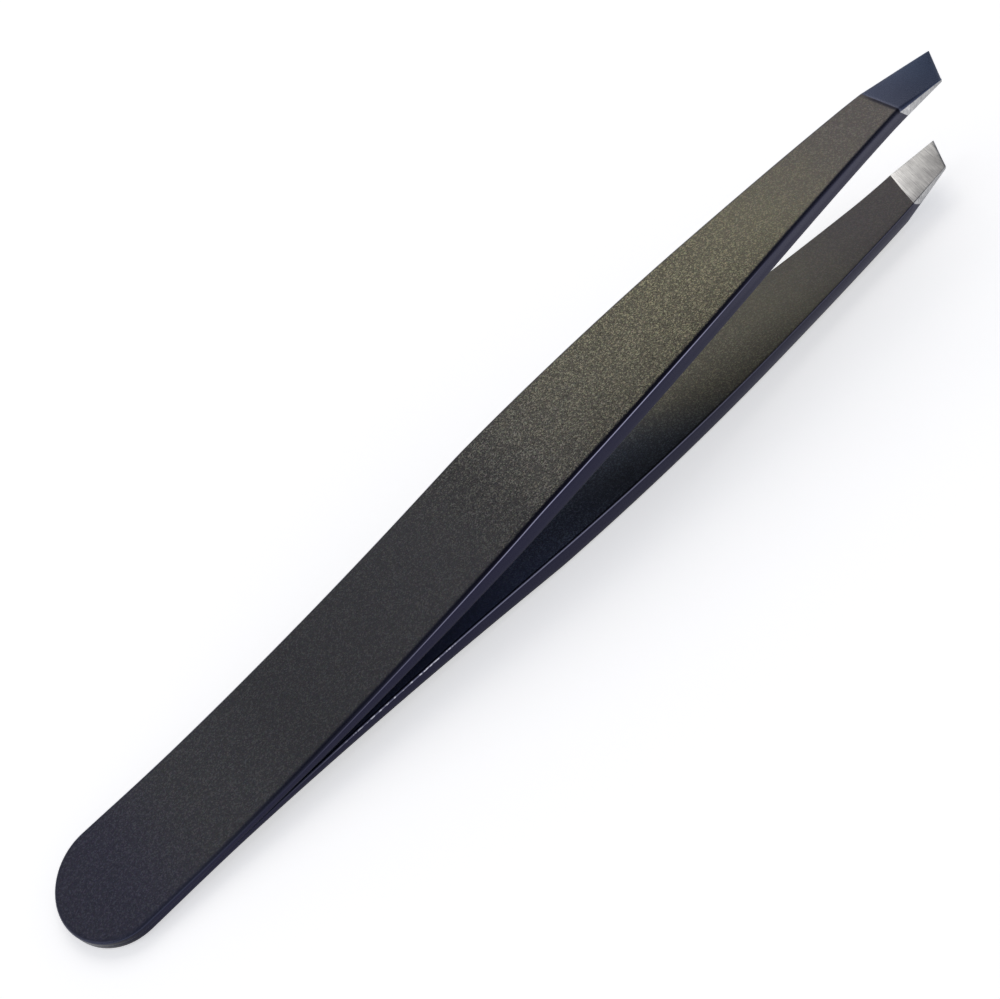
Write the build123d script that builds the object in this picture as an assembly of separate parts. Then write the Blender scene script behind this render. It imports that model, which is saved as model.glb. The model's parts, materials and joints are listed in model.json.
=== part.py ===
from build123d import *
import math
import os

# Slant tweezers: two spring-steel arms, spot-welded together at the butt.
# Each arm is one strip. It is cut here at the place where it flexes, into a welded tail and
# a free blade, and a round nose on the blade turns in a round socket in the tail.
# Working axes: X runs from the butt to the tips, Y across the width, and Z = 0 is the
# mid-plane that the arms close onto. The finished part is tilted to lie on its lower arm.

# Driving dimensions, in millimetres
LENGTH = 95.0            # butt to the far corner of the tip
HALF_WIDTH = 4.85        # half the width of the grip
BUTT_LENGTH = 4.2        # length of the half-ellipse that ends the butt
TAPER_START = 37.0       # where the sides begin to draw in
TAPER_FULL = 67.0        # where the sides become straight again
TAPER_SLOPE = 0.078      # how fast each side draws in, past TAPER_FULL
WELD_END = 10.0          # the inner faces touch from the butt to here
BOW_END = 41.0           # end of the stretch that curves outwards
BOW_RADIUS = 306.0
SWEEP_END = 74.0         # end of the long, nearly straight grip
SWEEP_RADIUS = 650.0
NOSE_RADIUS = 400.0
TOE_START = 84.0         # from here the tip is bent in
TOE_RADIUS = 60.0
BUTT_THICKNESS = 0.5
GRIP_THICKNESS = 1.75
TIP_THICKNESS = 1.35     # of the strip, before the tip is ground
THICKEST = 42.0          # where the thinned spring meets the full-thickness grip
THINNING_BLEND = 3.0     # half-lengths of the blends at the two ends of the thinned spring
THICKEST_BLEND = 1.0
EDGE_RADIUS = 0.18       # rounding of the long edges

TIP_HALF_GAP = 4.45      # mid-plane to the far corner of the tip, arms open
SLANT_DEPTH = 2.6        # how far the near corner of the tip is set back
FACET_START_NEAR = 86.4  # rear edge of the facet ground on the outside, at the near side
FACET_START_FAR = 86.85  # and at the far side
EDGE_THICKNESS = 0.3     # left at the tip by that facet
LAND_START_NEAR = 88.9   # rear edge of the land ground on the inside, at the near side
LAND_START_FAR = 89.4    # and at the far side

PIVOT_X = 22.0           # the arm's flexure, taken as a hinge
NOSE_FIT = 0.52          # radius of the blade's round nose
SOCKET_FIT = 0.56        # radius of the tail's round socket
TIP_CLEARANCE = 0.03     # left between each tip and the mid-plane when closed

WELD_SPOTS = (3.6, 7.4)  # centres of the two weld nuggets
WELD_RADIUS = 1.2
WELD_DEPTH = 0.2         # how far each nugget reaches into each arm

BEYOND = 6.0             # how far cutting shapes run past the solid
LEAN_STEP = 0.25         # spacing of the places tried when looking for the lower arm's bow
STRIP_SPARE = 2.0        # extra length of the strip before its end is cut
CUT_START, CUT_END = -0.3, 1.4   # how far a ground face runs past its rear edge and past the tip
INNER_STATIONS = (18, 26, 34, BOW_END, 50, 58, 66, SWEEP_END, 80, TOE_START, 88, 92)
OUTER_STATIONS = (WELD_END, 13, 20, 27, 34, 40, THICKEST, 44, 52, 60, 68, 76, TOE_START, 88, 92)


def eased_ramp(x, blend):
    """0 before -blend, x after +blend, and a parabola that joins them."""
    if x <= -blend:
        return 0.0
    if x >= blend:
        return x
    return (x + blend) ** 2 / (4 * blend)


def inner_height(x):
    """Height of an arm's inner face above the mid-plane, from four stretches of constant curvature."""
    height = 0.0
    slope = 0.0
    stretches = (
        (WELD_END, BOW_END, 1 / BOW_RADIUS),
        (BOW_END, SWEEP_END, -1 / SWEEP_RADIUS),
        (SWEEP_END, TOE_START, -1 / NOSE_RADIUS),
        (TOE_START, LENGTH + BEYOND, -1 / TOE_RADIUS),
    )
    for start, end, curvature in stretches:
        run = min(max(x - start, 0.0), end - start)
        height += slope * run + curvature * run * run / 2
        slope += curvature * run
    return height


def thickness(x):
    """Thickness of the strip: thin at the butt, full at the grip, and less again at the tip."""
    rise = (GRIP_THICKNESS - BUTT_THICKNESS) / (THICKEST - WELD_END)
    fall = (GRIP_THICKNESS - TIP_THICKNESS) / (LENGTH - THICKEST)
    thinned = rise * eased_ramp(x - WELD_END, THINNING_BLEND)
    ground = (rise + fall) * eased_ramp(x - THICKEST, THICKEST_BLEND)
    return BUTT_THICKNESS + thinned - ground


def outer_height(x):
    return inner_height(x) + thickness(x)


def half_width(x):
    """Half the width of an arm, past the rounded butt."""
    span = TAPER_FULL - TAPER_START
    run = min(max(x - TAPER_START, 0.0), span)
    past = max(x - TAPER_FULL, 0.0)
    return HALF_WIDTH - TAPER_SLOPE * run * run / (2 * span) - TAPER_SLOPE * past


FLAT_END = WELD_END - THINNING_BLEND
STRIP_END = LENGTH + STRIP_SPARE
PIVOT_Z = (inner_height(PIVOT_X) + outer_height(PIVOT_X)) / 2

FAR_Y = half_width(LENGTH)
NEAR_X = LENGTH - SLANT_DEPTH
NEAR_Y = -half_width(NEAR_X)


def closing_angle():
    """Turn, in radians, that brings the far corner of the tip to TIP_CLEARANCE above the mid-plane."""
    reach = LENGTH - PIVOT_X
    rise = TIP_HALF_GAP - PIVOT_Z
    drop = PIVOT_Z - TIP_CLEARANCE
    return math.atan2(rise, reach) + math.asin(drop / math.hypot(reach, rise))


CLOSING = closing_angle()
NEAR_HALF_GAP = TIP_HALF_GAP - SLANT_DEPTH * math.tan(CLOSING)
FAR_TIP = Vector(LENGTH, FAR_Y, TIP_HALF_GAP)
NEAR_TIP = Vector(NEAR_X, NEAR_Y, NEAR_HALF_GAP)


def side_profile():
    """The strip seen from the side: flat at the butt, then the two long curves."""
    inner_flat = Line((0, 0), (WELD_END, 0))
    inner_curve = Spline(
        (WELD_END, 0),
        *[(x, inner_height(x)) for x in (*INNER_STATIONS, STRIP_END)],
        tangents=[(1, 0), (1, inner_height(STRIP_END) - inner_height(STRIP_END - 1))],
    )
    outer_flat = Line((0, BUTT_THICKNESS), (FLAT_END, BUTT_THICKNESS))
    outer_curve = Spline(
        (FLAT_END, BUTT_THICKNESS),
        *[(x, outer_height(x)) for x in (*OUTER_STATIONS, STRIP_END)],
        tangents=[(1, 0), (1, outer_height(STRIP_END) - outer_height(STRIP_END - 1))],
    )
    ends = [Line((0, 0), (0, BUTT_THICKNESS)), Line(inner_curve @ 1, outer_curve @ 1)]
    return make_face([inner_flat, inner_curve, outer_flat, outer_curve, *ends])


def plan_outline():
    """The strip seen from above: rounded butt, parallel grip and long taper."""
    middle = (TAPER_START + TAPER_FULL) / 2
    sides = []
    for side in (1, -1):
        grip = Line((BUTT_LENGTH, side * HALF_WIDTH), (TAPER_START, side * HALF_WIDTH))
        shoulder = ThreePointArc(
            grip @ 1, (middle, side * half_width(middle)), (TAPER_FULL, side * half_width(TAPER_FULL))
        )
        taper = Line(shoulder @ 1, (STRIP_END, side * half_width(STRIP_END)))
        sides += [grip, shoulder, taper]
    butt = EllipticalCenterArc(
        (BUTT_LENGTH, 0), BUTT_LENGTH, HALF_WIDTH, start_angle=90, arc_size=180
    )
    tip = Line((STRIP_END, half_width(STRIP_END)), (STRIP_END, -half_width(STRIP_END)))
    return make_face([butt, *sides, tip])


def blank():
    """The upper arm before grinding: its side profile within its outline, long edges rounded."""
    side = extrude(Plane.XZ * side_profile(), HALF_WIDTH + BEYOND, both=True)
    strip = side & extrude(plan_outline(), outer_height(TOE_START) + BEYOND)
    long_edges = [
        edge for edge in strip.edges()
        if abs(edge.tangent_at(0.5).Z) < 0.5 and edge.geom_type != GeomType.LINE
        or abs(edge.tangent_at(0.5).X) > 0.9
    ]
    return fillet(long_edges, EDGE_RADIUS)


def ruled_cutter(rear_near, rear_far, lift, depth):
    """What grinding removes: its face runs from a rear edge to the tip's edge raised by lift.

    The removed stock lies depth above that face, or below it when depth is negative.
    """
    rear = (rear_near, rear_far)
    edge = (NEAR_TIP + Vector(0, 0, lift), FAR_TIP + Vector(0, 0, lift))
    stock = Vector(0, 0, depth)
    sections = []
    for along in (CUT_START, CUT_END):
        near, far = (start + (end - start) * along for start, end in zip(rear, edge))
        near, far = near - (far - near), far + (far - near)
        sections.append(make_face(Polyline(near, far, far + stock, near + stock, close=True)))
    return loft(sections, ruled=True)


def facet_cutter():
    """The facet outside the tip, which leaves a thin edge there."""
    near = Vector(FACET_START_NEAR, -half_width(FACET_START_NEAR), outer_height(FACET_START_NEAR))
    far = Vector(FACET_START_FAR, half_width(FACET_START_FAR), outer_height(FACET_START_FAR))
    return ruled_cutter(near, far, EDGE_THICKNESS, BEYOND)


def land_cutter():
    """The land inside the tip, which meets the other arm's."""
    near = Vector(LAND_START_NEAR, -half_width(LAND_START_NEAR), inner_height(LAND_START_NEAR))
    far = Vector(LAND_START_FAR, half_width(LAND_START_FAR), inner_height(LAND_START_FAR))
    return ruled_cutter(near, far, 0.0, -BEYOND)


def ground(strip):
    """Cuts the slanted end, the outer facet and the land that meets the other tip."""
    along_edge = (FAR_TIP - NEAR_TIP).normalized()
    outward = Vector(along_edge.Y, -along_edge.X, 0)
    slanted = split(strip, bisect_by=Plane(FAR_TIP, z_dir=outward), keep=Keep.BOTTOM)
    return slanted - facet_cutter() - land_cutter()


def ahead_of_pivot(radius):
    """The space ahead of the hinge line, with a round of that radius on the line."""
    width = 2 * (HALF_WIDTH + BEYOND)
    height = 2 * (outer_height(TOE_START) + BEYOND)
    slab = Pos(PIVOT_X + LENGTH / 2, 0, PIVOT_Z) * Box(LENGTH, width, height)
    round_end = Pos(PIVOT_X, 0, PIVOT_Z) * Rot(90, 0, 0) * Cylinder(radius, width)
    return slab + round_end


def weld_nuggets():
    """The fused discs of steel that hold the two arms together."""
    return [Pos(x, 0, 0) * Cylinder(WELD_RADIUS, 2 * WELD_DEPTH) for x in WELD_SPOTS]


def rest_tilt():
    """Lean, in degrees, of the mid-plane when the lower arm lies on its butt and its bow."""
    count = round((FACET_START_NEAR - PIVOT_X) / LEAN_STEP)
    stations = [PIVOT_X + LEAN_STEP * step for step in range(count)]
    steepest = max((outer_height(x) - BUTT_THICKNESS) / (x - EDGE_RADIUS) for x in stations)
    return math.degrees(math.atan(steepest))


def sub_parts():
    """Every node by name, on the working axes."""
    arm = ground(blank())
    tail = arm - ahead_of_pivot(SOCKET_FIT)
    for nugget in weld_nuggets():
        tail = tail - nugget
    blade = arm & ahead_of_pivot(NOSE_FIT)
    return {
        "upper_arm_tail": tail,
        "lower_arm_tail": mirror(tail, about=Plane.XY),
        "upper_arm_blade": blade,
        "lower_arm_blade": mirror(blade, about=Plane.XY),
        "spot_welds": Compound(weld_nuggets()),
    }


def resting_place(parts):
    """Turns the part onto its lower arm, with the middle of its footprint at the origin."""
    lean = Rot(0, -rest_tilt(), 0)
    box = Compound([lean * solid for part in parts.values() for solid in part.solids()]).bounding_box()
    centre = box.center()
    return Pos(-centre.X, -centre.Y, -box.min.Z) * lean


if __name__ == "__main__":
    os.makedirs("parts", exist_ok=True)
    parts = sub_parts()
    place = resting_place(parts)
    for name, part in parts.items():
        solids = [place * solid for solid in part.solids()]
        export_step(solids[0] if len(solids) == 1 else Compound(solids), f"parts/{name}.step")
    hinge = place * Pos(PIVOT_X, 0, PIVOT_Z)
    lower_hinge = place * Pos(PIVOT_X, 0, -PIVOT_Z)
    print("lean", rest_tilt(), "closing", math.degrees(CLOSING))
    print("upper hinge", hinge.position, "lower hinge", lower_hinge.position)
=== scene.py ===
import json
import math
import bmesh
import bpy
from mathutils import Matrix, Vector


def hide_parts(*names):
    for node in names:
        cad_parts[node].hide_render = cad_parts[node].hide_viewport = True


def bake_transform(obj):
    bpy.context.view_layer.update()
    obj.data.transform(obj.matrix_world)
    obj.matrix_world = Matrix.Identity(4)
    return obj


# The looks of a pair of slant tweezers. Each arm is one continuous strip of coated steel that
# stands for the two CAD solids of that arm and bends between the butt and the blade.
# Shapes are worked out in millimetres on the arm's own axes, as in the CAD source: X from the
# butt to the tips, Y across, Z up from the mid-plane that the arms close onto. The hinges in the
# frame's record then place them in the row frame, in metres.

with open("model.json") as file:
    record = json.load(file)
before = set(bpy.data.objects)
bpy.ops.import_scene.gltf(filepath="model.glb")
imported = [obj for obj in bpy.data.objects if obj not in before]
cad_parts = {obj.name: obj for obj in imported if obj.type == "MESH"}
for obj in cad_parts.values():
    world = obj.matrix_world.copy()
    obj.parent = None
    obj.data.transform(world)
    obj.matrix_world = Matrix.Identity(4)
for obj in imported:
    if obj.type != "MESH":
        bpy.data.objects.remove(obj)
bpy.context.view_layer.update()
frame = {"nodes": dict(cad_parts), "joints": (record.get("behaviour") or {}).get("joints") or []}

MM = 0.001

# Driving dimensions of the arm, the same as in the CAD source
LENGTH = 95.0
HALF_WIDTH = 4.85
BUTT_LENGTH = 4.2
TAPER_START = 37.0
TAPER_FULL = 67.0
TAPER_SLOPE = 0.078
WELD_END = 10.0
BOW_END = 41.0
BOW_RADIUS = 306.0
SWEEP_END = 74.0
SWEEP_RADIUS = 650.0
NOSE_RADIUS = 400.0
TOE_START = 84.0
TOE_RADIUS = 60.0
BUTT_THICKNESS = 0.5
GRIP_THICKNESS = 1.75
TIP_THICKNESS = 1.35
THICKEST = 42.0
THINNING_BLEND = 3.0
THICKEST_BLEND = 1.0
TIP_HALF_GAP = 4.45
SLANT_DEPTH = 2.6
FACET_START_NEAR = 86.4
FACET_START_FAR = 86.85
EDGE_THICKNESS = 0.3
PIVOT_X = 22.0
TIP_CLEARANCE = 0.03

# Dimensions that only the looks need
OUTER_ROUNDING = 0.32        # radius of the long edges of the outer face
INNER_ROUNDING = 0.10        # radius of the long edges of the inner face
BUTT_ROUNDINGS = (0.2, 0.04) # both radii round the end of the butt
TIP_ROUNDINGS = (0.09, 0.04) # what is left of both at the end of the ground tip
LEAST_ROUNDING = 0.01        # so that no edge of the mesh closes up
END_BREAK = 0.035            # rounding of the tip's slanted end
EDGE_BAND = 0.38             # width of the painted shade, a darker border along the outer face's edges
LAND_START_NEAR = 87.4       # where the bare finish inside the tip begins, at the near side; the
                             # land itself starts at 88.9 in CAD, and the coating is rubbed off behind it
LAND_START_FAR = 89.4        # and at the far side


def lerp(a, b, share):
    return a + (b - a) * share


def smooth(x, low, high):
    """0 below low, 1 above high, and an S-curve between them."""
    share = min(max((x - low) / (high - low), 0.0), 1.0)
    return share * share * (3 - 2 * share)


# The arm's shape, as in the CAD source

def eased_ramp(x, blend):
    if x <= -blend:
        return 0.0
    if x >= blend:
        return x
    return (x + blend) ** 2 / (4 * blend)


def inner_height(x):
    height = 0.0
    slope = 0.0
    stretches = (
        (WELD_END, BOW_END, 1 / BOW_RADIUS),
        (BOW_END, SWEEP_END, -1 / SWEEP_RADIUS),
        (SWEEP_END, TOE_START, -1 / NOSE_RADIUS),
        (TOE_START, LENGTH, -1 / TOE_RADIUS),
    )
    for start, end, curvature in stretches:
        run = min(max(x - start, 0.0), end - start)
        height += slope * run + curvature * run * run / 2
        slope += curvature * run
    return height


def thickness(x):
    rise = (GRIP_THICKNESS - BUTT_THICKNESS) / (THICKEST - WELD_END)
    fall = (GRIP_THICKNESS - TIP_THICKNESS) / (LENGTH - THICKEST)
    thinned = rise * eased_ramp(x - WELD_END, THINNING_BLEND)
    ground = (rise + fall) * eased_ramp(x - THICKEST, THICKEST_BLEND)
    return BUTT_THICKNESS + thinned - ground


def outer_height(x):
    return inner_height(x) + thickness(x)


def half_width(x):
    span = TAPER_FULL - TAPER_START
    run = min(max(x - TAPER_START, 0.0), span)
    past = max(x - TAPER_FULL, 0.0)
    return HALF_WIDTH - TAPER_SLOPE * run * run / (2 * span) - TAPER_SLOPE * past


def closing_angle():
    pivot_z = (inner_height(PIVOT_X) + outer_height(PIVOT_X)) / 2
    reach = LENGTH - PIVOT_X
    rise = TIP_HALF_GAP - pivot_z
    drop = pivot_z - TIP_CLEARANCE
    return math.atan2(rise, reach) + math.asin(drop / math.hypot(reach, rise))


NEAR_X = LENGTH - SLANT_DEPTH
NEAR_HALF_GAP = TIP_HALF_GAP - SLANT_DEPTH * math.tan(closing_angle())

# The mesh. Its rows run straight across the grip. From LEAN_START they lean, so that row
# CREASE_ROW follows the rear edge of the facet or of the land, and the last row the slanted end.
LEAN_START = 80.0
GROWN_ROW = 18.0             # row from which the long edges have their full rounding
ROUND_FADE = 86.0            # row from which the rounding shrinks towards the tip
CREASE_ROW = 87.5
ROW_STEP = 0.5
CREASE_STEPS = (-0.25, -0.1, -0.03, 0.0, 0.03, 0.1, 0.25)
ACROSS = (0.2, 0.4, 0.6, 0.8, 0.93, 1.0)       # shares of the half width of a face's flat part
ROUND_STEPS = 6                                # steps round each long edge
WALL_SHARES = (0.33, 0.67)                     # places between the two roundings of a side wall
FAN_STEPS = 40                                 # steps round the butt
END_TURNS = (0.0, math.pi / 4, math.pi / 2)    # steps of the rounding of the slanted end
COATED, BARE = 0, 1                            # material numbers of the two finishes


def far_share(row, across):
    """Share of the way from the near side to the far one, at a place across from -1 to 1.

    The slanted end has its near side further from the centre line than its far side, so the
    middle moves from 0.5 at the crease row to where the centre line crosses the end.
    """
    tip_middle = half_width(NEAR_X) / (half_width(NEAR_X) + half_width(LENGTH))
    middle = lerp(0.5, tip_middle, max(row - CREASE_ROW, 0.0) / (LENGTH - CREASE_ROW))
    return lerp(middle, 1.0, across) if across > 0 else lerp(middle, 0.0, -across)


def row_x(row, across, crease_near, crease_far):
    """Where a row is along the arm, at a place across it from -1, near, to 1, far."""
    share = far_share(row, across)
    crease = lerp(crease_near, crease_far, share)
    if row <= LEAN_START:
        return row
    if row <= CREASE_ROW:
        return lerp(LEAN_START, crease, (row - LEAN_START) / (CREASE_ROW - LEAN_START))
    return lerp(crease, lerp(NEAR_X, LENGTH, share), (row - CREASE_ROW) / (LENGTH - CREASE_ROW))


def ground_height(row, across, rear_near, rear_far, edge):
    """Height of a ruled face that runs from a rear line to the slanted end.

    At the end it is edge above the mating edge.
    """
    share = (row - CREASE_ROW) / (LENGTH - CREASE_ROW)
    near = lerp(rear_near, NEAR_HALF_GAP + edge, share)
    far = lerp(rear_far, TIP_HALF_GAP + edge, share)
    return lerp(near, far, far_share(row, across))


def outer_point(row, across):
    """(x, z) on the outer face."""
    x = row_x(row, across, FACET_START_NEAR, FACET_START_FAR)
    if row <= CREASE_ROW:
        return x, outer_height(x)
    rear_near, rear_far = outer_height(FACET_START_NEAR), outer_height(FACET_START_FAR)
    return x, ground_height(row, across, rear_near, rear_far, EDGE_THICKNESS)


def inner_point(row, across):
    """(x, z) on the inner face."""
    x = row_x(row, across, LAND_START_NEAR, LAND_START_FAR)
    if row <= CREASE_ROW:
        return x, inner_height(x)
    rear_near, rear_far = inner_height(LAND_START_NEAR), inner_height(LAND_START_FAR)
    return x, ground_height(row, across, rear_near, rear_far, 0.0)


def rounding(row, outer):
    """Radius of a long edge of the outer or the inner face: less at the butt and on the ground tip."""
    full = OUTER_ROUNDING if outer else INNER_ROUNDING
    butt, tip = (pair[0 if outer else 1] for pair in (BUTT_ROUNDINGS, TIP_ROUNDINGS))
    grown = lerp(butt, full, smooth(row, BUTT_LENGTH, GROWN_ROW))
    return lerp(grown, tip, smooth(row, ROUND_FADE, LENGTH))


def rows():
    """(row, inset) along one side, from the rounded butt to the end; the inset rounds the end."""
    count = math.ceil((LENGTH - BUTT_LENGTH) / ROW_STEP)
    places = {round(lerp(BUTT_LENGTH, LENGTH, step / count), 4) for step in range(count)}
    places = {place for place in places if abs(place - CREASE_ROW) > max(CREASE_STEPS)}
    places |= {CREASE_ROW + step for step in CREASE_STEPS}
    end = [
        (LENGTH - END_BREAK * (1 - math.sin(turn)), END_BREAK * (1 - math.cos(turn)))
        for turn in END_TURNS
    ]
    return [(place, 0.0) for place in sorted(places)] + end


def section(row, inset, side):
    """Half a cross-section, from the middle of the outer face round to the middle of the inner one.

    Each point is (position, (edge, outer, border)). Edge runs from 0 on a face to 1 on the side
    wall, outer from 1 on the outer face to 0 on the inner one, and border is how far in from the
    side wall the point is.
    """
    radii = [max(rounding(row, outer) - inset, LEAST_ROUNDING) for outer in (True, False)]
    corners = []
    for face, radius in zip((outer_point, inner_point), radii):
        x, height = face(row, side)
        corners.append((x, half_width(x) - inset, height))
    (outer_x, outer_y, outer_z), (inner_x, inner_y, inner_z) = corners
    outer_z -= inset
    inner_z += inset
    points = []
    for share in ACROSS:
        x, height = outer_point(row, side * share)
        y = share * (outer_y - radii[0])
        points.append((Vector((x, side * y, height - inset)), (0.0, 1.0, outer_y - y)))
    for step in range(1, ROUND_STEPS + 1):
        turn = math.pi / 2 * step / ROUND_STEPS
        y = outer_y - radii[0] * (1 - math.sin(turn))
        z = outer_z - radii[0] * (1 - math.cos(turn))
        points.append((Vector((outer_x, side * y, z)), (step / ROUND_STEPS, 1.0, outer_y - y)))
    for share in WALL_SHARES:
        y = lerp(outer_y, inner_y, share)
        z = lerp(outer_z - radii[0], inner_z + radii[1], share)
        points.append((Vector((lerp(outer_x, inner_x, share), side * y, z)), (1.0, 1 - share, 0.0)))
    for step in range(ROUND_STEPS, 0, -1):
        turn = math.pi / 2 * step / ROUND_STEPS
        y = inner_y - radii[1] * (1 - math.sin(turn))
        z = inner_z + radii[1] * (1 - math.cos(turn))
        points.append((Vector((inner_x, side * y, z)), (step / ROUND_STEPS, 0.0, inner_y - y)))
    for share in reversed(ACROSS):
        x, height = inner_point(row, side * share)
        y = share * (inner_y - radii[1])
        points.append((Vector((x, side * y, height + inset)), (0.0, 0.0, inner_y - y)))
    return points


def butt_section(angle):
    """The same half section on a ray of the rounded butt; angle 0 is the far side, pi the near."""
    outline = Vector((BUTT_LENGTH * (1 - math.sin(angle)), HALF_WIDTH * math.cos(angle), 0.0))
    outward = Vector((-math.sin(angle) / BUTT_LENGTH, math.cos(angle) / HALF_WIDTH, 0.0)).normalized()
    centre = Vector((BUTT_LENGTH, 0.0, 0.0))
    points = []
    for position, zone in section(BUTT_LENGTH, 0.0, 1):
        depth = HALF_WIDTH - position.y
        rim_depth = min(depth, rounding(BUTT_LENGTH, zone[1] > 0.5))
        rim = outline - outward * rim_depth
        share = position.y / (HALF_WIDTH - rim_depth)
        place = centre + (rim - centre) * share
        points.append((Vector((place.x, place.y, position.z)), zone))
    return points


def ring_faces(count, depth):
    """Quads between neighbouring half sections, each with its place (ring, step)."""
    for ring in range(count - 1):
        for step in range(depth - 1):
            here = ring * depth + step
            yield (here, here + 1, here + depth + 1, here + depth), ring, step


def arm_surface():
    """Vertices, faces and material numbers of the upper arm, on its own axes."""
    side_rows = rows()
    last = len(side_rows) - 1
    far = [section(row, inset, 1) for row, inset in reversed(side_rows)]
    fan = [butt_section(math.pi * step / FAN_STEPS) for step in range(1, FAN_STEPS)]
    near = [section(row, inset, -1) for row, inset in side_rows]
    rings = far + fan + near
    depth = len(rings[0])
    flat = len(ACROSS)
    points = [point for ring in rings for point in ring]
    middles = {}
    for name, face, outer, lift in (("outer", outer_point, 1.0, -1), ("inner", inner_point, 0.0, 1)):
        middles[name] = len(points)
        for row, inset in side_rows:
            x, height = face(row, 0)
            points.append((Vector((x, 0.0, height + lift * inset)), (0.0, outer, half_width(x))))

    def row_of(ring):
        """Number of the row that a ring belongs to; the whole fan counts as row 0."""
        return max(last - ring, ring - len(far) - len(fan), 0)

    def finish_of(ring_pair, step):
        """Bare steel past the land's rear edge, except on the facet, and on the rounded end."""
        row = min(side_rows[row_of(ring)][0] for ring in ring_pair)
        rounded_end = min(row_of(ring) for ring in ring_pair) > last - len(END_TURNS)
        on_facet = step < flat - 1 + ROUND_STEPS
        return BARE if rounded_end or (row >= CREASE_ROW and not on_facet) else COATED

    faces = []
    for face, ring, step in ring_faces(len(rings), depth):
        faces.append((face, finish_of((ring, ring + 1), step)))
    for name, step in (("outer", 0), ("inner", depth - 1)):
        for ring in range(len(rings) - 1):
            a, b = ring * depth + step, (ring + 1) * depth + step
            middle_a, middle_b = (middles[name] + row_of(r) for r in (ring, ring + 1))
            corners = (a, b, middle_b) if middle_a == middle_b else (a, b, middle_b, middle_a)
            faces.append((corners, finish_of((ring, ring + 1), step)))
    # The slanted end, on each side: quads from the outer face down to the inner one, and one face
    # beside the side wall
    outer_end, inner_end = middles["outer"] + last, middles["inner"] + last
    for top in (0, (len(rings) - 1) * depth):
        bottom = top + depth - 1
        faces.append(((outer_end, top, bottom, inner_end), BARE))
        for step in range(flat - 1):
            a, b = top + step, bottom - step
            faces.append(((a, a + 1, b - 1, b), BARE))
        faces.append((tuple(range(top + flat - 1, bottom - flat + 2)), BARE))
    return points, faces


def placement():
    """From the arms' axes in millimetres to the row frame, worked out from the two hinges."""
    hinges = {joint["name"]: Vector(joint["pos_m"]) for joint in frame["joints"]}
    upper, lower = hinges["upper_flex"], hinges["lower_flex"]
    up = (upper - lower).normalized()
    along = Vector((up.z, 0.0, -up.x))
    origin = (upper + lower) / 2 - along * PIVOT_X * MM
    columns = (along * MM, Vector((0.0, MM, 0.0)), up * MM)
    matrix = Matrix([[column[axis] for column in columns] for axis in range(3)]).to_4x4()
    matrix.translation = origin
    return matrix


def make_arm(name, side, place, materials):
    """One arm as a smooth closed mesh; side is 1 for the upper arm and -1 for the lower one."""
    points, faces = arm_surface()
    rest = [Vector((p.x, p.y, side * p.z)) for p, _ in points]
    mesh = bpy.data.meshes.new(name)
    mesh.from_pydata([place @ p for p in rest], [], [face for face, _ in faces])
    mesh.polygons.foreach_set("material_index", [finish for _, finish in faces])
    mesh.polygons.foreach_set("use_smooth", [True] * len(faces))
    shell = bmesh.new()
    shell.from_mesh(mesh)
    bmesh.ops.recalc_face_normals(shell, faces=shell.faces)
    shell.to_mesh(mesh)
    shell.free()
    rest_layer = mesh.attributes.new("rest", "FLOAT_VECTOR", "POINT")
    rest_layer.data.foreach_set("vector", [number for p in rest for number in p])
    zone_layer = mesh.attributes.new("zone", "FLOAT_VECTOR", "POINT")
    zone_layer.data.foreach_set("vector", [number for _, zone in points for number in zone])
    mesh.update()
    arm = bpy.data.objects.new(name, mesh)
    bpy.context.scene.collection.objects.link(arm)
    for material in materials:
        mesh.materials.append(material)
    return arm


# Materials. The helpers take and return sockets, so that they nest like formulas.

def add(tree, kind, inputs=None, **settings):
    """A node with its settings, and its inputs as values or as sockets to link."""
    node = tree.nodes.new(kind)
    for key, value in settings.items():
        setattr(node, key, value)
    for key, value in (inputs or {}).items():
        if isinstance(value, bpy.types.NodeSocket):
            tree.links.new(value, node.inputs[key])
        else:
            node.inputs[key].default_value = value
    return node


def new_material(name):
    material = bpy.data.materials.new(name)
    material.use_nodes = True
    tree = material.node_tree
    tree.nodes.clear()
    shader = add(tree, "ShaderNodeBsdfPrincipled")
    output = add(tree, "ShaderNodeOutputMaterial")
    tree.links.new(shader.outputs["BSDF"], output.inputs["Surface"])
    return material, tree, shader


def ramp(tree, value, low, high, bottom=0.0, top=1.0):
    """value turned smoothly from low..high into bottom..top."""
    inputs = {"Value": value, "From Min": low, "From Max": high, "To Min": bottom, "To Max": top}
    return add(tree, "ShaderNodeMapRange", inputs, interpolation_type="SMOOTHSTEP").outputs[0]


def fall(tree, value, low, high):
    """1 below low and 0 above high."""
    return ramp(tree, value, low, high, 1.0, 0.0)


def combine(tree, operation, *values):
    return add(tree, "ShaderNodeMath", dict(enumerate(values)), operation=operation).outputs[0]


def product(tree, *shares):
    result = shares[0]
    for share in shares[1:]:
        result = combine(tree, "MULTIPLY", result, share)
    return result


def band(tree, value, start, full, fade, end):
    """1 between full and fade, and 0 outside start..end."""
    return product(tree, ramp(tree, value, start, full), fall(tree, value, fade, end))


def blend_colours(tree, share, first, second, mode="MIX"):
    inputs = {"Factor": share, 6: first, 7: second}
    return add(tree, "ShaderNodeMix", inputs, data_type="RGBA", blend_type=mode).outputs[2]


def tinted(tree, share, colour, tint):
    """colour, multiplied by tint where share is 1."""
    return blend_colours(tree, share, colour, tint, "MULTIPLY")


def noise(tree, vector, scale, detail=2.0, roughness=0.5):
    inputs = {"Vector": vector, "Scale": scale, "Detail": detail, "Roughness": roughness}
    return add(tree, "ShaderNodeTexNoise", inputs).outputs["Fac"]


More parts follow.
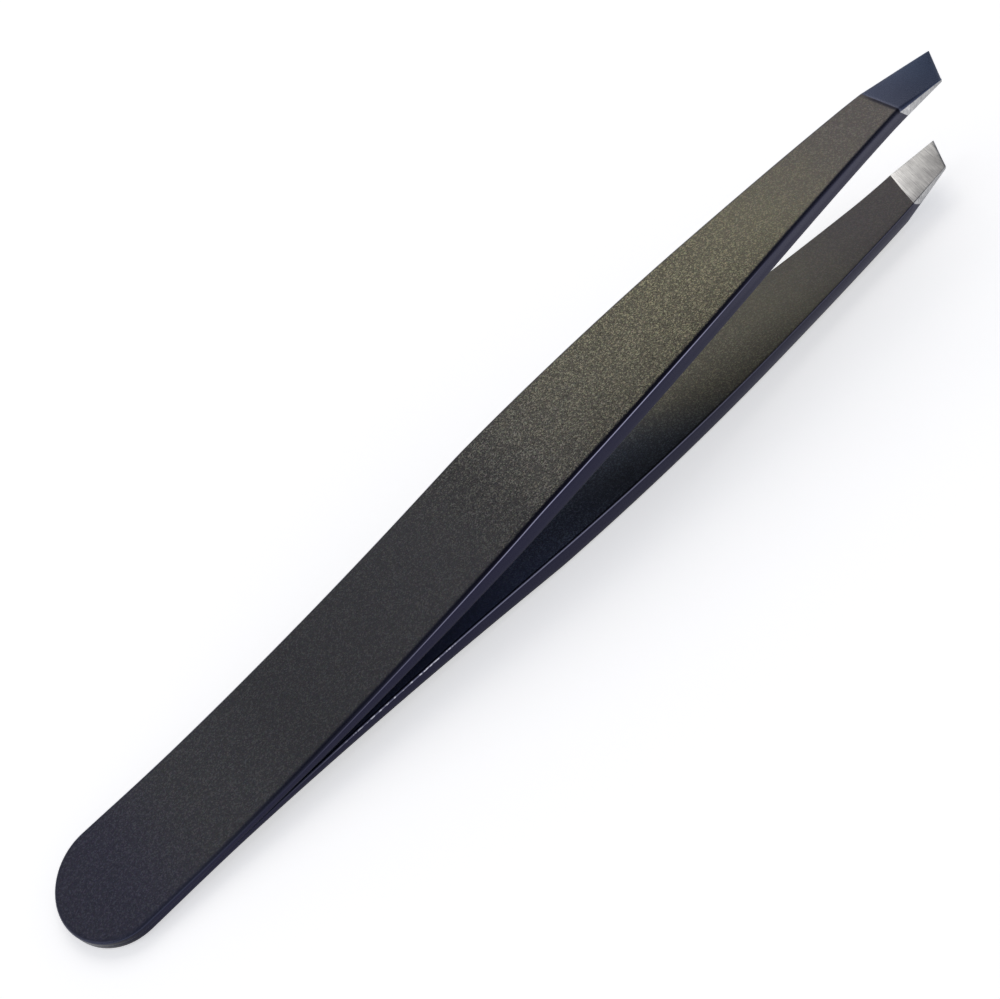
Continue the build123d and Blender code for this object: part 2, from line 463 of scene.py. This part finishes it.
def stretched(tree, vector, scale, turn):
    """Coordinates turned about Z by turn and scaled on each axis, for brushed lines."""
    inputs = {"Vector": vector, "Scale": scale, "Rotation": (0.0, 0.0, turn)}
    return add(tree, "ShaderNodeMapping", inputs, vector_type="TEXTURE").outputs[0]


def surface_places(tree):
    """The mesh's stored coordinates: the unbent place in millimetres, and its zone."""
    rest = add(tree, "ShaderNodeAttribute", attribute_name="rest").outputs["Vector"]
    zone = add(tree, "ShaderNodeAttribute", attribute_name="zone").outputs["Vector"]
    x, y, z = add(tree, "ShaderNodeSeparateXYZ", {0: rest}).outputs
    edge, outer, border = add(tree, "ShaderNodeSeparateXYZ", {0: zone}).outputs
    return rest, (x, y, z), (edge, outer, border)


def past_line(tree, x, y, near, far):
    """How far x is past a line across the arm that leans from near, at the near side, to far."""
    lean = (far - near) / (2 * half_width(near))
    line = combine(tree, "MULTIPLY_ADD", y, lean, (near + far) / 2)
    return combine(tree, "SUBTRACT", x, line)


def finish_shader(tree, shader, colour, roughness, metallic, height, strength, distance):
    """Give the shader its colour, roughness and metallic share, and bumps distance millimetres deep."""
    tree.links.new(colour, shader.inputs["Base Color"])
    tree.links.new(roughness, shader.inputs["Roughness"])
    shader.inputs["Metallic"].default_value = metallic
    inputs = {"Height": height, "Strength": strength, "Distance": distance * MM}
    tree.links.new(add(tree, "ShaderNodeBump", inputs).outputs[0], shader.inputs["Normal"])


def grey(level):
    return (level, level, level, 1.0)


# Colours of the coating
CHARCOAL = (0.072, 0.072, 0.080, 1.0)          # outer face, behind the grip
BRONZE = (0.112, 0.106, 0.080, 1.0)            # outer face, on the grip
NOSE_TONE = (0.082, 0.075, 0.073, 1.0)         # outer face, behind the facet
NAVY = (0.0115, 0.0112, 0.0345, 1.0)           # side walls
NAVY_HIGHLIGHT = (0.033, 0.033, 0.060, 1.0)         # painted highlight: the side walls lighter near the tip, beside the outer face
NAVY_DARK = (0.007, 0.007, 0.017, 1.0)         # painted shade along the borders of the outer face and behind the facet's rear edge; also darkens the walls at the butt end
RIM_SOFT = (0.017, 0.018, 0.034, 1.0)          # the same painted shade, softer, at the butt and near the tip
BUTT_RIM = (0.040, 0.044, 0.075, 1.0)          # rounded edges at the butt
BLACK = (0.0015, 0.0015, 0.003, 1.0)           # painted shade on edges that face down and beside the inner face's edges
EDGE_HIGHLIGHT = (0.31, 0.31, 0.44, 1.0)               # painted highlight along the long edges
GLINT = (0.75, 0.75, 0.85, 1.0)                # painted glints in that highlight
SLATE = (0.029, 0.040, 0.084, 1.0)             # the ground facet
SLATE_TIP = (0.042, 0.062, 0.118, 1.0)         # and its end
SLATE_LIT = (0.075, 0.085, 0.14, 1.0)          # painted highlight along its rear edge

# Tints, which are multiplied into those colours
BUTT_TINT = (0.79, 0.78, 1.03, 1.0)
SHADED = grey(0.80)
DARK_GRAIN = (0.21, 0.21, 0.23, 1.0)
PEARLS = (2.7, 2.7, 2.4, 1.0)
INSIDE_REAR = (1.4, 1.7, 2.8, 1.0)             # inner face, from the rear to the tip
INSIDE_MIDDLE = (0.33, 0.43, 0.78, 1.0)
INSIDE = (0.65, 0.66, 0.72, 1.0)

# Scales of the patterns, in details per millimetre
HUE_SCALE = 6.0
FLAKE_SCALE = 10.0
GRAIN_SCALE = 11.0
MOTTLE_SCALE = 0.5
GLINT_SCALE = 2.5
HUE_SHARE = 0.2                                # how much of the many-coloured noise shows

# Where the looks of the outer and the inner face change along the arm. All places are in
# millimetres from the butt; a pair is the start and the end of a change, and four places are the
# start, full strength, fading and end of a band.
BUTT_TINT_FADES = (4.0, 12.0)
SPRING_SHADED = (13.0, 21.0, 40.0, 48.0)
# painted light: where the outer face turns lighter and warmer, from charcoal to bronze
BRONZE_STARTS = (35.0, 66.5)
BRONZE_MOTTLE = 6.0                            # how unevenly it starts
SPECKLED = (33.0, 45.0, 58.0, 78.0)
PLAIN_SPECKLE = 0.34                           # strength of the speckle outside that band
INNER_SPECKLE = 0.6                            # and on the inner face
NEAR_HALF_SHADED = (42.0, 50.0, 66.0, 80.0)
NEAR_HALF = (-4.5, 0.5)                        # where that shade fades, across the arm
NOSE_STARTS = (72.0, 87.0)
INSIDE_MIDDLE_STARTS = (33.0, 47.0)
INSIDE_STARTS = (49.0, 59.0)
INSIDE_SLANT = 1.3                             # how fast both run back towards the far side
MIDDLE = (-0.1, 0.1)                           # a change at the mid-plane or the centre line


def face_colour(tree, rest, x, y, outer, mottle, grain):
    """Bronze-flecked pearl on the front of the grip, charcoal towards the butt; that change is painted
    light, and parts of both faces carry painted shade.
    """
    hues = add(tree, "ShaderNodeTexNoise", {"Vector": rest, "Scale": HUE_SCALE}).outputs["Color"]
    cells = add(tree, "ShaderNodeTexVoronoi", {"Vector": rest, "Scale": FLAKE_SCALE}).outputs["Color"]
    flake = add(tree, "ShaderNodeSeparateColor", {0: cells}).outputs[0]
    forward = combine(tree, "ADD", x, product(tree, mottle, BRONZE_MOTTLE))
    inner_face = fall(tree, outer, 0.0, 0.4)

    face = blend_colours(tree, ramp(tree, forward, *BRONZE_STARTS), CHARCOAL, BRONZE)
    near_half = product(tree, fall(tree, y, *NEAR_HALF), band(tree, x, *NEAR_HALF_SHADED))
    face = tinted(tree, near_half, face, SHADED)
    face = blend_colours(tree, ramp(tree, forward, *NOSE_STARTS), face, NOSE_TONE)
    face = tinted(tree, band(tree, x, *SPRING_SHADED), face, SHADED)
    face = tinted(tree, fall(tree, x, *BUTT_TINT_FADES), face, BUTT_TINT)

    slanted = combine(tree, "ADD", x, product(tree, y, INSIDE_SLANT))
    middle_starts = ramp(tree, slanted, *INSIDE_MIDDLE_STARTS)
    inner = blend_colours(tree, middle_starts, INSIDE_REAR, INSIDE_MIDDLE)
    # painted shade: the inner face darker towards the tip
    inner = blend_colours(tree, ramp(tree, slanted, *INSIDE_STARTS), inner, INSIDE)
    face = tinted(tree, inner_face, face, inner)
    face = blend_colours(tree, HUE_SHARE, face, hues, "OVERLAY")

    speckled = ramp(tree, band(tree, x, *SPECKLED), 0.0, 1.0, PLAIN_SPECKLE, 1.0)
    speckled = product(tree, speckled, ramp(tree, outer, 0.0, 0.4, INNER_SPECKLE, 1.0))
    dark = product(tree, fall(tree, grain, 0.38, 0.56), speckled)
    face = tinted(tree, dark, face, DARK_GRAIN)
    pearly = product(tree, ramp(tree, flake, 0.5, 0.95), speckled)
    return tinted(tree, pearly, face, PEARLS)


# Where the looks of the side walls and of their rounded edges change along the arm
# where the painted shade on the edge roundings is darkest
DARK_RIM = (30.0, 38.0, 58.0, 74.0)
# where the painted highlight on the side walls comes in
WALL_HIGHLIGHT_GROWS = (54.0, 72.0)
EDGE_HIGHLIGHT_ALONG = (12.0, 50.0, 56.0, 70.0)
INNER_HIGHLIGHT_STARTS = (12.0, 30.0)
INNER_HIGHLIGHT_FADES = (40.0, 72.0)
INNER_HIGHLIGHT_STRENGTHS = (0.6, 0.12)                   # before and after it fades
GLINTS = (20.0, 24.0, 30.0, 32.5)
BUTT_END_DARK = (2.0, 6.0)
BUTT_RIM_FADES = (5.0, 22.0)


def side_colour(tree, rest, x, y, z, edge, outer):
    """Deep navy on the cut sides, with painted highlights and painted glints along the long edges, and
    painted shade on the rims and on edges that face down.
    """
    upper_arm = ramp(tree, z, *MIDDLE)
    lower_arm = fall(tree, z, *MIDDLE)
    wall = ramp(tree, edge, 0.6, 0.98)
    arc = fall(tree, edge, 0.85, 0.99)
    outer_edge = ramp(tree, outer, 0.85, 1.0)
    inner_edge = fall(tree, outer, 0.0, 0.06)

    # Painted shade on the edge roundings and the outer face's border, darkest mid-arm
    rim = blend_colours(tree, band(tree, x, *DARK_RIM), RIM_SOFT, NAVY_DARK)
    side = blend_colours(tree, wall, rim, NAVY)
    # Painted highlight: the side walls lighter near the tip, on their half beside the outer face
    wall_highlight = product(tree, wall, ramp(tree, outer, 0.25, 0.95), ramp(tree, x, *WALL_HIGHLIGHT_GROWS))
    side = blend_colours(tree, wall_highlight, side, NAVY_HIGHLIGHT)
    # Painted shade on the edges that face down: the lower arm's outer ones and the upper arm's inner
    # ones
    shaded_outer = product(tree, outer_edge, arc, lower_arm)
    shaded_inner = product(tree, inner_edge, arc, upper_arm)
    side = blend_colours(tree, combine(tree, "ADD", shaded_outer, shaded_inner), side, BLACK)

    # Painted highlight: a lighter line along the upper arm's outer edges
    edge_highlight = product(tree, band(tree, edge, 0.75, 0.84, 0.93, 1.0), band(tree, x, *EDGE_HIGHLIGHT_ALONG))
    side = blend_colours(tree, product(tree, edge_highlight, outer_edge, upper_arm), side, EDGE_HIGHLIGHT)
    # Painted highlight: a lighter line along the lower arm's inner edge, fading towards the tip
    inner_highlight = product(tree, ramp(tree, edge, 0.35, 0.65), inner_edge, lower_arm)
    inner_highlight = product(tree, inner_highlight, ramp(tree, x, *INNER_HIGHLIGHT_STARTS))
    inner_highlight_strength = ramp(tree, x, *INNER_HIGHLIGHT_FADES, *INNER_HIGHLIGHT_STRENGTHS)
    side = blend_colours(tree, product(tree, inner_highlight, inner_highlight_strength), side, EDGE_HIGHLIGHT)
    # Painted glints: bright dashes in the lower arm's inner-edge highlight, on the near side
    glint_spots = ramp(tree, noise(tree, rest, GLINT_SCALE, roughness=0.6), 0.47, 0.56)
    glints = product(tree, band(tree, x, *GLINTS), glint_spots, fall(tree, y, *MIDDLE))
    side = blend_colours(tree, product(tree, inner_highlight, glints), side, GLINT)

    butt_end = product(tree, fall(tree, x, *BUTT_END_DARK), wall)
    side = blend_colours(tree, butt_end, side, NAVY_DARK)
    butt_rim = product(tree, fall(tree, x, *BUTT_RIM_FADES), fall(tree, edge, 0.7, 0.98))
    return blend_colours(tree, butt_rim, side, BUTT_RIM)


# Painted shade beside the inner face's edges and behind the facet's crease, a painted highlight in front
# of the crease, and the coating's gloss
INNER_EDGE_SHADE = (8.0, 20.0, 56.0, 72.0)                 # painted shade: a dark line beside the inner face's edges
CREASE_SHADE = (-0.45, -0.15, 0.0, 0.04)       # shade behind the facet's rear edge
CREASE_HIGHLIGHT = (0.08, 0.35)                    # and the painted highlight in front of it
CREASE_FADES = (0.3, 2.0)                      # where both fade, across the arm
CREASE_STRENGTHS = (1.0, 0.25)                 # before and after they fade
SLATE_TIP_STARTS = (88.0, 93.0)
COATING_ROUGHNESS = (0.36, 0.50)               # with the grain
PLAIN_SMOOTHER = 0.12                          # how much less rough the cut and ground parts are
COATING_BUMPS = (0.5, 0.08)                    # strength on the faces and on the cut and ground parts
COATING_METALLIC = 0.85
COATING_IOR = 1.45


def coating():
    """Satin pearl coating: speckled on the faces, plain and bluer where the steel was cut or ground."""
    material, tree, shader = new_material("pearl_coating")
    rest, (x, y, z), (edge, outer, border) = surface_places(tree)
    grain = noise(tree, rest, GRAIN_SCALE, roughness=0.8)
    mottle = noise(tree, rest, MOTTLE_SCALE)
    on_outer = ramp(tree, outer, 0.9, 1.0)

    face = face_colour(tree, rest, x, y, outer, mottle, grain)
    side = side_colour(tree, rest, x, y, z, edge, outer)
    # Painted shade: a darker border along the outer face's edges, in the rim's colour
    rim = product(tree, fall(tree, border, EDGE_BAND / 3, EDGE_BAND), on_outer)
    rim = product(tree, rim, ramp(tree, x, BUTT_LENGTH, GROWN_ROW, 0.5, 1.0))
    cut = combine(tree, "MAXIMUM", rim, ramp(tree, edge, 0.0, 0.5))
    colour = blend_colours(tree, cut, face, side)
    # Painted shade: a dark line on the inner face beside its edges
    inner_edge_shade = product(tree, fall(tree, border, 0.12, 0.24), fall(tree, edge, 0.0, 0.2))
    inner_edge_shade = product(tree, inner_edge_shade, fall(tree, outer, 0.0, 0.1), band(tree, x, *INNER_EDGE_SHADE))
    colour = blend_colours(tree, inner_edge_shade, colour, BLACK)

    # Painted shade behind the facet's rear edge and a painted highlight in front of it
    past = past_line(tree, x, y, FACET_START_NEAR, FACET_START_FAR)
    clear = product(tree, ramp(tree, y, *CREASE_FADES, *CREASE_STRENGTHS), on_outer)
    shade = product(tree, band(tree, past, *CREASE_SHADE), clear)
    colour = blend_colours(tree, shade, colour, NAVY_DARK)
    facet = product(tree, ramp(tree, past, -0.03, 0.03), on_outer)
    crease_highlight = product(tree, fall(tree, past, *CREASE_HIGHLIGHT), clear)
    slate = blend_colours(tree, ramp(tree, x, *SLATE_TIP_STARTS), SLATE, SLATE_TIP)
    slate = blend_colours(tree, crease_highlight, slate, SLATE_LIT)
    colour = blend_colours(tree, facet, colour, slate)

    plain = combine(tree, "MAXIMUM", cut, facet)
    satin = ramp(tree, grain, 0.3, 0.7, *COATING_ROUGHNESS)
    roughness = combine(tree, "SUBTRACT", satin, product(tree, plain, PLAIN_SMOOTHER))
    bumps = ramp(tree, plain, 0.0, 1.0, *COATING_BUMPS)
    finish_shader(tree, shader, colour, roughness, COATING_METALLIC, grain, bumps, distance=0.03)
    shader.inputs["IOR"].default_value = COATING_IOR
    return material


# Colours, sizes and places on the bare steel
STEEL_DARK = (0.34, 0.34, 0.35, 1.0)           # troughs of the brushed lines
STEEL_BRIGHT = grey(0.72)                      # and their crests
STEEL_CLOUDS = (0.6, 0.6, 0.61, 1.0)           # tint of the cloudy patches
STEEL_NEAR_SHADE = (0.30, 0.30, 0.31, 1.0)           # painted shade towards the near side
STEEL_END = grey(0.70)                         # painted shade towards the slanted end
STEEL_REAR = grey(1.3)                         # painted highlight beside the land's rear edge
BRUSH_SIZE = (0.09, 2.2, 0.3)                  # of the brushed lines, in millimetres
BRUSH_TURN = math.radians(-24)
CLOUD_SCALE = 0.8
NEAR_SHADE_ACROSS = (-3.2, 2.6)
END_STARTS = (89.5, 93.0)
REAR_FADES = (0.1, 0.9)
WALL_BARE_INNER = 87.4                         # where the lower arm's wall turns bare, at its inner edge
WALL_BARE_LEAN = 0.9                           # and how much further forward at its outer edge
WALL_BARE_BLUR = 0.05
STEEL_ROUGHNESS = (0.24, 0.42)                 # with the brushed lines


def bare_steel():
    """Brushed steel where the coating was ground away, with painted shade and a painted highlight; some
    coating is left on the lower arm's side wall.
    """
    material, tree, shader = new_material("ground_steel")
    rest, (x, y, z), (edge, outer, _) = surface_places(tree)
    lines = noise(tree, stretched(tree, rest, BRUSH_SIZE, BRUSH_TURN), 1.0, 4.0, 0.7)
    clouds = noise(tree, rest, CLOUD_SCALE)
    colour = blend_colours(tree, ramp(tree, lines, 0.3, 0.7), STEEL_DARK, STEEL_BRIGHT)
    colour = tinted(tree, ramp(tree, clouds, 0.35, 0.7, 0.0, 0.5), colour, STEEL_CLOUDS)
    past = past_line(tree, x, y, LAND_START_NEAR, LAND_START_FAR)
    # Painted highlight beside the land's rear edge, painted shade towards the near side and the slanted
    # end
    colour = tinted(tree, fall(tree, past, *REAR_FADES), colour, STEEL_REAR)
    near_shade = product(tree, fall(tree, y, *NEAR_SHADE_ACROSS), ramp(tree, edge, 0.3, 0.8, 1.0, 0.35))
    colour = tinted(tree, near_shade, colour, STEEL_NEAR_SHADE)
    colour = tinted(tree, ramp(tree, x, *END_STARTS), colour, STEEL_END)

    line = combine(tree, "SUBTRACT", x, product(tree, outer, WALL_BARE_LEAN))
    left = fall(tree, line, WALL_BARE_INNER - WALL_BARE_BLUR, WALL_BARE_INNER + WALL_BARE_BLUR)
    left = product(tree, left, ramp(tree, edge, 0.3, 0.6), fall(tree, z, *MIDDLE))
    # the coating left on that wall takes the navy of the painted highlight
    colour = blend_colours(tree, left, colour, NAVY_HIGHLIGHT)
    roughness = ramp(tree, lines, 0.2, 0.8, *STEEL_ROUGHNESS)
    finish_shader(tree, shader, colour, roughness, 1.0, lines, 0.3, distance=0.01)
    return material


HEAT_BROWN = (0.30, 0.27, 0.24, 1.0)
HEAT_BLUE = (0.20, 0.24, 0.34, 1.0)
NUGGET_GRAIN_SCALE = 4000.0                    # details per metre, because the nuggets are CAD pieces
NUGGET_TINT_SCALE = 700.0
NUGGET_ROUGHNESS = (0.3, 0.55)


def fused_steel():
    """The weld nuggets: steel that melted and froze unevenly, with a heat tint."""
    material, tree, shader = new_material("fused_steel")
    place = add(tree, "ShaderNodeTexCoord").outputs["Object"]
    grain = noise(tree, place, NUGGET_GRAIN_SCALE, 3.0, 0.6)
    tint = noise(tree, place, NUGGET_TINT_SCALE)
    colour = blend_colours(tree, ramp(tree, tint, 0.35, 0.65), HEAT_BROWN, HEAT_BLUE)
    colour = tinted(tree, ramp(tree, grain, 0.35, 0.65, 0.0, 0.6), colour, grey(0.5))
    roughness = ramp(tree, grain, 0.3, 0.7, *NUGGET_ROUGHNESS)
    finish_shader(tree, shader, colour, roughness, 1.0, grain, 0.3, distance=0.02)
    return material


# Floor, light and camera

FLOOR_HALF_SIZE = 3.0
FLOOR_CLOUD_SCALE = 6.0
FLOOR_GLOW = 0.52                              # lifts the floor to the pale tone of studio paper
HORIZON = (0.86, 0.86, 0.87, 1.0)
ZENITH = (0.26, 0.27, 0.31, 1.0)
SKY_HEIGHTS = (0.05, 0.6)                      # between which the one turns into the other
CAMERA_AIM = Vector((-6.652, -0.79, 6.11)) * MM
CAMERA_AZIMUTH = -26.242
CAMERA_ELEVATION = 45.502
CAMERA_ROLL = -20.731
CAMERA_DISTANCE = 91.29 * MM
CAMERA_LENS = 45.0
CAMERA_CLIP = (0.005, 20.0)


def floor_material():
    material, tree, shader = new_material("pale_floor")
    place = add(tree, "ShaderNodeTexCoord").outputs["Object"]
    cloud = noise(tree, place, FLOOR_CLOUD_SCALE)
    colour = blend_colours(tree, ramp(tree, cloud, 0.3, 0.7), grey(0.88), grey(0.9))
    tree.links.new(colour, shader.inputs["Base Color"])
    shader.inputs["Roughness"].default_value = 0.9
    shader.inputs["Specular IOR Level"].default_value = 0.1
    shader.inputs["Emission Color"].default_value = grey(1.0)
    shader.inputs["Emission Strength"].default_value = FLOOR_GLOW
    return material


def make_floor():
    half = FLOOR_HALF_SIZE
    mesh = bpy.data.meshes.new("floor")
    corners = [(-half, -half, 0.0), (half, -half, 0.0), (half, half, 0.0), (-half, half, 0.0)]
    mesh.from_pydata(corners, [], [(0, 1, 2, 3)])
    mesh.materials.append(floor_material())
    floor = bpy.data.objects.new("floor", mesh)
    bpy.context.scene.collection.objects.link(floor)


def make_world():
    world = bpy.data.worlds.new("studio")
    world.use_nodes = True
    tree = world.node_tree
    tree.nodes.clear()
    direction = add(tree, "ShaderNodeTexCoord").outputs["Generated"]
    height = add(tree, "ShaderNodeSeparateXYZ", {0: direction}).outputs[2]
    sky = blend_colours(tree, ramp(tree, height, *SKY_HEIGHTS), HORIZON, ZENITH)
    background = add(tree, "ShaderNodeBackground", {"Color": sky, "Strength": 1.0})
    output = add(tree, "ShaderNodeOutputWorld")
    tree.links.new(background.outputs[0], output.inputs[0])
    bpy.context.scene.world = world


def from_angles(azimuth, elevation):
    """Unit vector towards a place in the sky, in degrees; azimuth 0 is +X and 90 is +Y."""
    azimuth, elevation = math.radians(azimuth), math.radians(elevation)
    level = math.cos(elevation)
    return Vector((math.cos(azimuth) * level, math.sin(azimuth) * level, math.sin(elevation)))


def softbox(name, azimuth, elevation, distance, width, height, radiance, colour=(1.0, 1.0, 1.0)):
    """A rectangular light that faces the middle of the tweezers."""
    towards = from_angles(azimuth, elevation)
    data = bpy.data.lights.new(name, "AREA")
    data.shape = "RECTANGLE"
    data.size = width
    data.size_y = height
    data.energy = radiance * math.pi * width * height
    data.color = colour
    light = bpy.data.objects.new(name, data)
    light.location = towards * distance
    light.rotation_mode = "QUATERNION"
    light.rotation_quaternion = towards.to_track_quat("Z", "Y")
    bpy.context.scene.collection.objects.link(light)


def make_camera():
    """The camera; its azimuth is 0 when it looks along +Y, and its roll turns it about its own axis."""
    back = from_angles(CAMERA_AZIMUTH - 90, CAMERA_ELEVATION)
    roll = math.radians(CAMERA_ROLL)
    level_right = Vector((0.0, 0.0, 1.0)).cross(back).normalized()
    level_up = back.cross(level_right)
    right = level_right * math.cos(roll) + level_up * math.sin(roll)
    up = level_up * math.cos(roll) - level_right * math.sin(roll)
    data = bpy.data.cameras.new("camera")
    data.lens = CAMERA_LENS
    data.clip_start, data.clip_end = CAMERA_CLIP
    camera = bpy.data.objects.new("camera", data)
    turned = Matrix([[axis[row] for axis in (right, up, back)] for row in range(3)]).to_4x4()
    turned.translation = CAMERA_AIM + back * CAMERA_DISTANCE
    camera.matrix_world = turned
    bpy.context.scene.collection.objects.link(camera)
    bpy.context.scene.camera = camera


# The scene

place = placement()
finishes = [coating(), bare_steel()]
for name, side in (("upper", 1), ("lower", -1)):
    arm = make_arm(name + "_arm", side, place, finishes)
    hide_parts(name + "_arm_tail", name + "_arm_blade")
    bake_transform(arm)

welds = frame["nodes"]["spot_welds"]
welds.data.materials.clear()
welds.data.materials.append(fused_steel())

make_floor()
make_world()
softbox("key", azimuth=55.0, elevation=47.0, distance=1.2, width=0.95, height=0.8, radiance=1.6,
        colour=(1.0, 0.96, 0.88))
softbox("side", azimuth=170.0, elevation=35.0, distance=1.2, width=0.8, height=0.6, radiance=1.0)
make_camera()
bpy.context.scene.view_settings.view_transform = "Standard"
